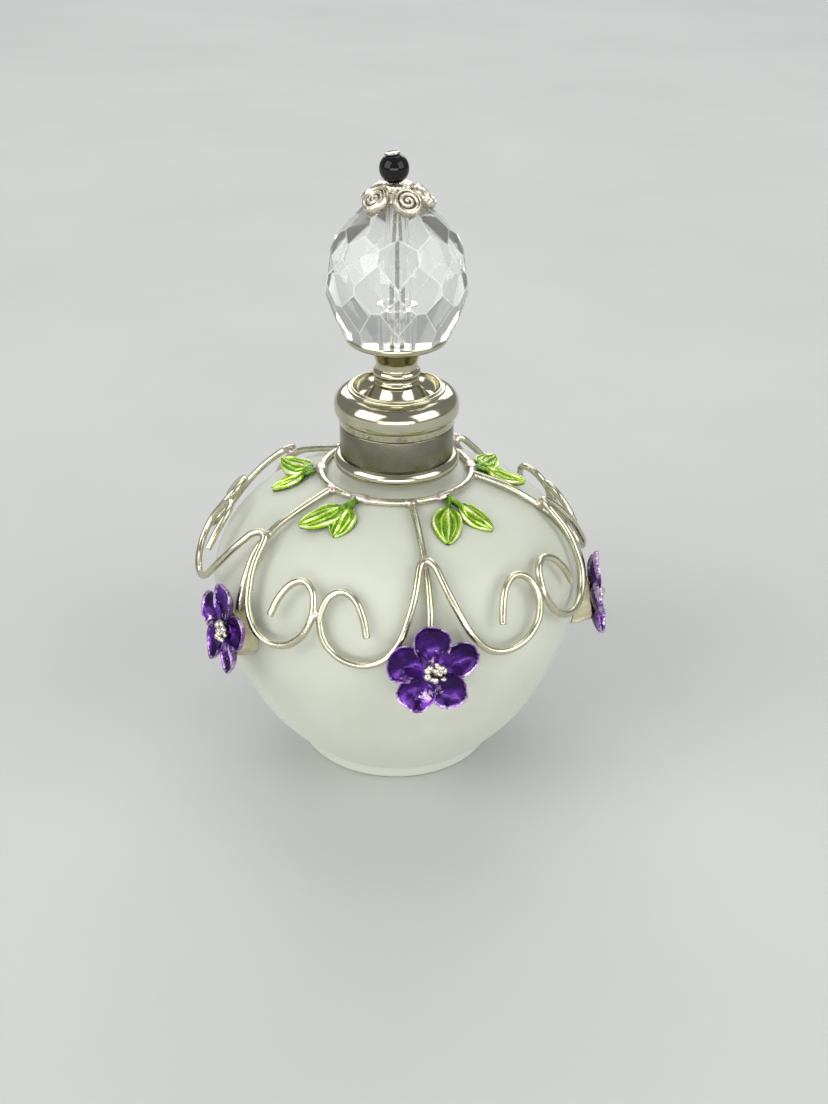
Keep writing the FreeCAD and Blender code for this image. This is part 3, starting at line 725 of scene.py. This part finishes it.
def stamens(k, rng, origin, axes):
    """A ring of silver nuggets with a few higher ones inside it, melted together."""
    shell = Shell()
    for p in range(STAMENS):
        outside = p < STAMENS_OUTSIDE
        a = math.radians(360 / STAMENS_OUTSIDE * p + rng.uniform(-14, 14))
        r = rng.uniform(1.1, 1.5) if outside else rng.uniform(0.2, 0.6)
        size = rng.uniform(0.42, 0.66)
        rise = rng.uniform(0.0, 0.45) + (0.0 if outside else 0.2)
        shell.ball((r * math.cos(a) + 0.3, r * math.sin(a) - 0.35, 1.3 + rise),
                   (size, size * rng.uniform(0.75, 1.2), size + rise / 3), 200 + 10 * k + p)
    shell.ball((0.2, -0.2, 1.0), (1.6, 1.6, 0.35), 300 + k)
    shell.place(0, origin, axes)
    mesh = with_modifiers(shell.mesh("stamens_%d" % k),
                          ("REMESH", dict(mode="VOXEL", voxel_size=STAMEN_VOXEL * MM)),
                          ("SMOOTH", dict(factor=0.5, iterations=2)))
    rise = (mesh_points(mesh) - origin) @ axes[2]
    set_paint(mesh, np.clip((rise - 1.3) / 0.75, 0, 1))
    piece("stamens_cast_%d" % k, mesh, "bottle", "bright_silver", "stamens_%d" % k)


def glue_pad(k):
    """The lump of glue behind a flower, shrunk a little and uneven."""
    pad = fused("glue_pad_%d" % k, ["glue_pad_%d" % k], [], GLUE_VOXEL, 6)
    points = mesh_points(pad)
    push_out(pad, points, 0.1 * ripple(points, 2.4, 70 + k) - 0.08)
    piece("glue_set_%d" % k, pad, "bottle", "glue", "glue_pad_%d" % k)


def flower(k):
    """A flower with its stamens and its glue."""
    rng = np.random.default_rng(100 + k)
    origin, axes = flower_frame(k)
    petals(k, rng, origin, axes)
    stamens(k, rng, origin, axes)
    glue_pad(k)


# ---- leaves ----
def leaf(shell, stem, length, width, turn, curl, foot, seed):
    """A stem that widens into a thick leaf with a raised rim, a midrib and two side ribs."""
    rng = np.random.default_rng(seed)
    skew = rng.uniform(-0.1, 0.1)
    bulge = (0.5 + rng.uniform(-0.06, 0.02), 0.7)
    broadest = bulge[0] / sum(bulge)
    scale = broadest ** bulge[0] * (1 - broadest) ** bulge[1]
    phases = rng.uniform(0, 2 * math.pi, (5, 2))
    over, under = 49, 13
    across = np.concatenate([np.linspace(-1, 1, over), np.linspace(1, -1, under + 2)[1:-1]])
    top = np.arange(len(across)) < over
    rows, paint = [], []
    stem_rows = [(-0.6, 0.0), (0.1, 0.0), (stem * 0.5, 0.0), (stem * 0.85, 0.0)]
    blade_rows = [(stem + length * s, s) for s in np.linspace(0.012, 0.988, 40)]
    for y, s in stem_rows + blade_rows:
        shape = s ** bulge[0] * (1 - s) ** bulge[1] / scale
        blade = np.clip(s * 9, 0, 1)
        half = max(0.42 * (1 - s) ** 3, width / 2 * shape)
        spread = 0.47 * np.clip((s - 0.05) / 0.3, 0, 1) ** 0.6
        ribs = np.zeros(len(across))
        for middle, thick, strength, phase in zip((0, -spread, spread, -LEAF_RIM, LEAF_RIM),
                                                  LEAF_RIBS_THICK, LEAF_RIBS_STRONG, phases):
            near = middle + 0.05 * math.sin(7 * s + phase[0])
            weight = strength * (0.82 + 0.18 * math.sin(11 * s + phase[1]))
            ribs = np.maximum(ribs, weight * np.exp(-((across - near) / thick) ** 2))
        fade = blade * np.clip((1 - s) * 7, 0, 1)
        relief = LEAF_RIDGE * (ribs - 0.35) * fade + 0.12 * (1 - across ** 2)
        edge = np.sqrt(np.clip(1 - np.abs(across) ** 13, 0, 1))
        upper = LEAF_T * (0.35 + 0.65 * edge) + relief * edge
        lower = 0.12 * (np.abs(across) ** 3)
        height = np.where(top, upper, lower) - LEAF_SUNK
        bend = curl * (max(y, 0) / length) ** 2 * 1.1
        camber = 0.22 * blade * across ** 2 * (half / 2)
        x = across * half + skew * length * s * s
        rows.append(np.column_stack([x, np.full(len(x), y), height + bend - camber]))
        # tops run from green furrows to pale-gold ribs and rims; the underside and the side walls
        # of the thick edge get painted shade, the darkest green
        shade = np.where(top, 0.2 + 0.75 * ribs * blade, 0.05)
        paint.append(np.where(np.abs(across) > 0.985, 0.05, shade))
    rows = np.array(rows)
    flat = rows.reshape(-1, 3)
    flat[:, 2] += 0.06 * ripple(flat, 1.8, seed)
    flat[:, 0] += 0.1 * ripple(flat, 2.4, seed + 1)
    x, y = rotated(flat[:, 0], flat[:, 1], turn)
    shell.loft(np.column_stack([x + foot, y, flat[:, 2]]).reshape(rows.shape), np.array(paint))


def leaf_pair(k):
    """Two leaves that spread from one place on the ring."""
    azimuth, mean = LEAF_PAIRS[k - 1]
    foot = polar(RING_R + 0.9, azimuth, RING_Z)
    down = unit(polar(LEAF_FAR[0], azimuth, LEAF_FAR[1]) - foot)
    outward = unit(np.cross(polar(1, azimuth - 90, 0), down))
    across = np.cross(down, outward)
    shell = Shell()
    for side, (stem, length, width, turn, curl) in zip((-1, 1), LEAF_SHAPES[k - 1]):
        leaf(shell, stem, length, width, mean + side * LEAF_SPREAD / 2 + turn, curl,
             LEAF_SHIFT[k - 1], 400 + 10 * k + side)
    shell.place(0, foot, [across, down, outward])
    piece("leaf_pair_enamelled_%d" % k, shell.mesh("leaf_pair_%d" % k), "bottle",
          "green_enamel", "leaf_pair_%d" % k)


# ---- bead cap ----
def volute(shell, azimuth, seed):
    """A round petal carrying a raised spiral."""
    n = 72
    turn = round_turn(n)
    rows, paint = [], []
    rng = np.random.default_rng(seed)
    start = rng.uniform(0, 2 * math.pi)
    notch = 1 + 0.02 * np.sin(4 * turn + start) - 0.045 * np.exp(-((turn - 3.4) / 0.12) ** 2)
    for q in np.linspace(0.02, 0.97, 30):
        r = q * SCROLL_PETAL_R * notch
        wound = np.mod(r / SCROLL_PITCH + (turn - start) / (2 * math.pi), 1.0)
        ridge = (0.5 - 0.5 * np.cos(2 * math.pi * wound)) ** 0.7
        ridge = np.where(r > 0.82 * SCROLL_PETAL_R, np.maximum(ridge, 0.9), ridge)
        dome = 0.8 + 0.2 * (1 - q * q)
        rolled = 0.35 * np.clip((q - 0.88) / 0.09, 0, 1) ** 2
        rows.append(np.column_stack([r * np.cos(turn), r * np.sin(turn),
                                     dome + 0.42 * ridge - rolled]))
        paint.append(ridge)
    for q, height in ((1.0, 0.62), (1.0, 0.25), (0.96, 0.03), (0.6, 0.03), (0.1, 0.03)):
        r = q * SCROLL_PETAL_R * notch
        rows.append(np.column_stack([r * np.cos(turn), r * np.sin(turn), np.full(n, height)]))
        paint.append(np.full(n, 0.45))
    since = len(shell.points)
    shell.loft(rows, paint)
    tilt = math.radians(SCROLL_PETAL_ELEVATION)
    outward = polar(math.cos(tilt), azimuth, math.sin(tilt))
    up = polar(-math.sin(tilt), azimuth, math.cos(tilt))
    right = np.cross(up, outward)
    shell.place(since, polar(SCROLL_PETAL_RING, azimuth, SCROLL_PETAL_Z), [right, up, outward])


def bead_cap():
    """Five volute petals round a dome with a beaded collar."""
    shell = Shell()
    n = 120
    turn = round_turn(n)
    beads = np.abs(np.cos(COLLAR_BEADS / 2 * turn))
    rows, paint = [], []
    for radius, height, beading, shade in CAP_DOME:
        r = radius * (1 + 0.07 * beading * (beads - 0.6))
        z = np.full(n, height) + 0.1 * beading * (beads - 0.5)
        rows.append(np.column_stack([r * np.cos(turn), r * np.sin(turn), z]))
        paint.append(shade * (0.55 + 0.45 * beads * beading + 0.45 * (1 - beading)))
    shell.loft(rows, paint)
    for p in range(SCROLL_PETALS):
        volute(shell, SCROLL_PETAL_AZIMUTH + 360 / SCROLL_PETALS * p, 600 + p)
    piece("bead_cap_cast", shell.mesh("bead_cap"), "cap", "antique_silver", "bead_cap")


# ---- build ----
cage()
for unit_number in UNITS:
    flower(unit_number)
    leaf_pair(unit_number)
bead_cap()
turned("neck_collar", 0.08)
turned("cap_shell", 0.08)
turned("finial_stem", 0.06)
turned("crystal_bead", 0.11, 16.2, 12.0, "crystal_edge")
turned("black_bead", 0.12)
turned("head_pin", 0.07)
for node, obj in NODES.items():
    obj.data.materials.clear()
    obj.data.materials.append(FINISH[SLOT[node]])


# ---- studio ----
def floor():
    work = bmesh.new()
    bmesh.ops.create_circle(work, cap_ends=True, segments=96, radius=FLOOR_R)
    mesh = bpy.data.meshes.new("floor")
    work.to_mesh(mesh)
    work.free()
    mesh.materials.append(pale_floor())
    obj = linked(bpy.data.objects.new("floor", mesh))


def softbox(name, place, aim, size, power, tint):
    """A rectangular light that faces a point, in metres and watts."""
    light = bpy.data.lights.new(name, "AREA")
    light.shape = "RECTANGLE"
    light.size, light.size_y = size
    light.energy = power
    light.color = tint
    obj = linked(bpy.data.objects.new(name, light))
    obj.location = place
    obj.rotation_euler = (Vector(aim) - Vector(place)).to_track_quat("-Z", "Y").to_euler()


def sky():
    world = bpy.data.worlds.new("studio")
    world.use_nodes = True
    background = world.node_tree.nodes["Background"]
    background.inputs["Color"].default_value = (0.86, 0.88, 0.88, 1)
    background.inputs["Strength"].default_value = 0.34
    bpy.context.scene.world = world


def camera():
    """Stands where the object is seen from in front and above, level but for a slight roll."""
    pitch, roll = math.radians(CAMERA_PITCH), math.radians(CAMERA_ROLL)
    forward = Vector((0, math.cos(pitch), -math.sin(pitch)))
    up = Vector((0, math.sin(pitch), math.cos(pitch)))
    right = Vector((1, 0, 0))
    rolled_up = up * math.cos(roll) + right * math.sin(roll)
    rolled_right = right * math.cos(roll) - up * math.sin(roll)
    data = bpy.data.cameras.new("camera")
    data.lens = CAMERA_LENS
    data.sensor_width = 36
    data.sensor_fit = "AUTO"
    data.clip_start = 0.01
    obj = linked(bpy.data.objects.new("camera", data))
    matrix = Matrix((rolled_right, rolled_up, -forward)).transposed().to_4x4()
    matrix.translation = Vector(CAMERA_PLACE)
    obj.matrix_world = matrix
    bpy.context.scene.camera = obj


bpy.context.scene.view_settings.view_transform = "Standard"
floor()
sky()
softbox("key", (-0.80, -0.52, 0.66), (0, 0, 0.05), (0.95, 0.95), 8.8, (1.0, 0.985, 0.94))
softbox("fill", (0.84, -0.46, 0.60), (0, 0, 0.05), (0.85, 0.85), 6.4, (1.0, 0.99, 0.96))
softbox("top", (0.0, 0.60, 1.50), (0, 0, 0.04), (1.4, 1.0), 7.0, (1.0, 1.0, 1.0))
softbox("low", (0.0, -1.5, 0.20), (0, 0, 0.025), (1.8, 0.36), 11.0, (1.0, 0.995, 0.97))
softbox("back", (0.0, 2.4, 1.2), (0, 0, 0.04), (2.8, 1.1), 29.0, (1.0, 1.0, 0.98))
camera()
